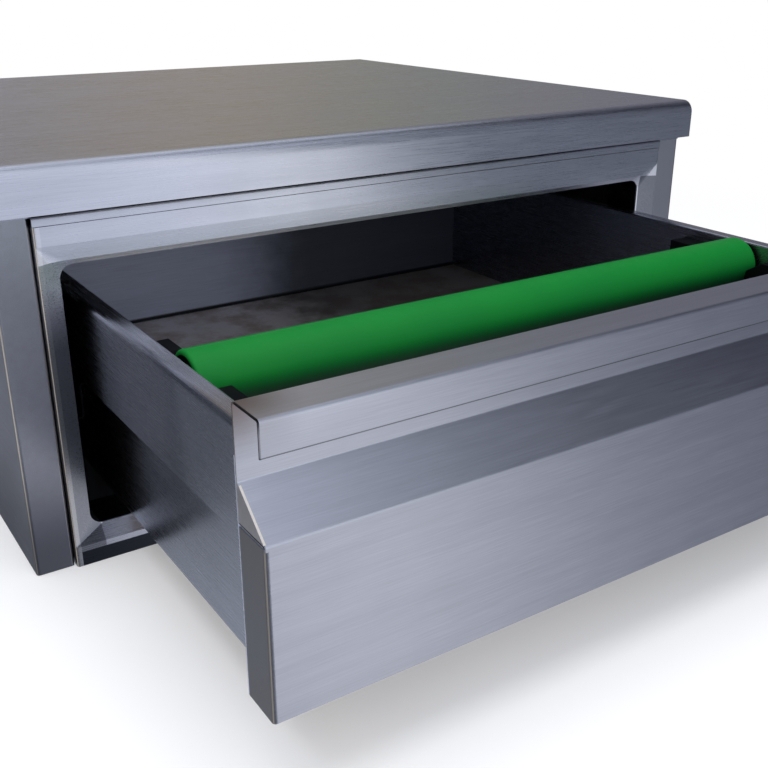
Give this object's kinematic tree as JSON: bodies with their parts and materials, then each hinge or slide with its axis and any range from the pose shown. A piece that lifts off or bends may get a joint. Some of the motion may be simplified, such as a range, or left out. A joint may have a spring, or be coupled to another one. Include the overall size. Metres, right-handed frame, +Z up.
{
  "type": "coffee knock drawer",
  "caption": "Low stainless counter housing with a wide drawer on telescopic rails, a folded full-width handle and a green rubber-sleeved knock bar across the drawer.",
  "frame": {"origin": "middle of the underside of the housing", "axes": "+X to the right seen from the front, +Y to the back of the housing, +Z up; the drawer opens along -Y"},
  "size_m": [0.716, 0.9848, 0.334],
  "materials": {
    "stainless": "stainless steel sheet, brushed from left to right",
    "folded_steel": "stainless steel sheet, dull mill finish",
    "zinc_steel": "bright zinc plate on rolled steel",
    "ball_steel": "polished bearing steel",
    "green_rubber": "smooth satin rubber",
    "black_plastic": "fine moulded matt",
    "tube_steel": "turned steel tube",
    "black_rubber": "matt rubber",
    "board": "water-resistant board, hidden"
  },
  "bodies": {
    "housing": {"face_frame": "stainless", "stile_left": "folded_steel", "stile_right": "folded_steel", "side_panel_left": "stainless", "side_panel_right": "stainless", "back_panel": "stainless", "base_panel": "folded_steel", "top_deck": "stainless", "worktop_skin": "stainless", "worktop_core": "board", "worktop_pads": "black_rubber", "rail_bracket_left": "zinc_steel", "rail_bracket_right": "zinc_steel", "outer_rail_left": "zinc_steel", "outer_rail_right": "zinc_steel", "frame_screws": "zinc_steel", "back_screws": "zinc_steel"},
    "drawer": {"drawer_side_left": "stainless", "drawer_side_right": "stainless", "drawer_pan": "stainless", "cross_brace_front": "folded_steel", "cross_brace_rear": "folded_steel", "inner_rail_left": "zinc_steel", "inner_rail_right": "zinc_steel", "drawer_front": "stainless", "front_inner_panel": "stainless", "front_screws": "zinc_steel", "cradle_left": "black_plastic", "cradle_right": "black_plastic", "cradle_screws": "zinc_steel"},
    "middle_left": {"middle_rail_left": "zinc_steel"},
    "middle_right": {"middle_rail_right": "zinc_steel"},
    "outer_bearing_left": {"outer_cage_left": "zinc_steel", "outer_balls_left": "ball_steel"},
    "outer_bearing_right": {"outer_cage_right": "zinc_steel", "outer_balls_right": "ball_steel"},
    "inner_bearing_left": {"inner_cage_left": "zinc_steel", "inner_balls_left": "ball_steel"},
    "inner_bearing_right": {"inner_cage_right": "zinc_steel", "inner_balls_right": "ball_steel"},
    "knock_bar": {"bar_sleeve": "green_rubber", "bar_tube": "tube_steel", "bar_plug_left": "black_plastic", "bar_plug_right": "black_plastic"}
  },
  "joints": [
    {"name": "drawer_slide", "type": "slide", "parent": "housing", "child": "drawer", "axis": [0, -1, 0], "range_m": [-0.30955, 0.19045]},
    {"name": "middle_slide_left", "type": "slide", "parent": "housing", "child": "middle_left", "axis": [0, -1, 0], "range_m": [-0.15477, 0.09523]},
    {"name": "outer_bearing_slide_left", "type": "slide", "parent": "housing", "child": "outer_bearing_left", "axis": [0, -1, 0], "range_m": [-0.07739, 0.04761]},
    {"name": "inner_bearing_slide_left", "type": "slide", "parent": "housing", "child": "inner_bearing_left", "axis": [0, -1, 0], "range_m": [-0.23216, 0.14284]},
    {"name": "middle_slide_right", "type": "slide", "parent": "housing", "child": "middle_right", "axis": [0, -1, 0], "range_m": [-0.15477, 0.09523]},
    {"name": "outer_bearing_slide_right", "type": "slide", "parent": "housing", "child": "outer_bearing_right", "axis": [0, -1, 0], "range_m": [-0.07739, 0.04761]},
    {"name": "inner_bearing_slide_right", "type": "slide", "parent": "housing", "child": "inner_bearing_right", "axis": [0, -1, 0], "range_m": [-0.23216, 0.14284]},
    {"name": "knock_bar_lift", "type": "slide", "parent": "drawer", "child": "knock_bar", "axis": [0, 0, 1], "range_m": [0, 0.045]}
  ],
  "couplings": [
    {"joint": "middle_slide_left", "follows": "drawer_slide", "ratio": 0.5},
    {"joint": "outer_bearing_slide_left", "follows": "drawer_slide", "ratio": 0.25},
    {"joint": "inner_bearing_slide_left", "follows": "drawer_slide", "ratio": 0.75},
    {"joint": "middle_slide_right", "follows": "drawer_slide", "ratio": 0.5},
    {"joint": "outer_bearing_slide_right", "follows": "drawer_slide", "ratio": 0.25},
    {"joint": "inner_bearing_slide_right", "follows": "drawer_slide", "ratio": 0.75}
  ]
}
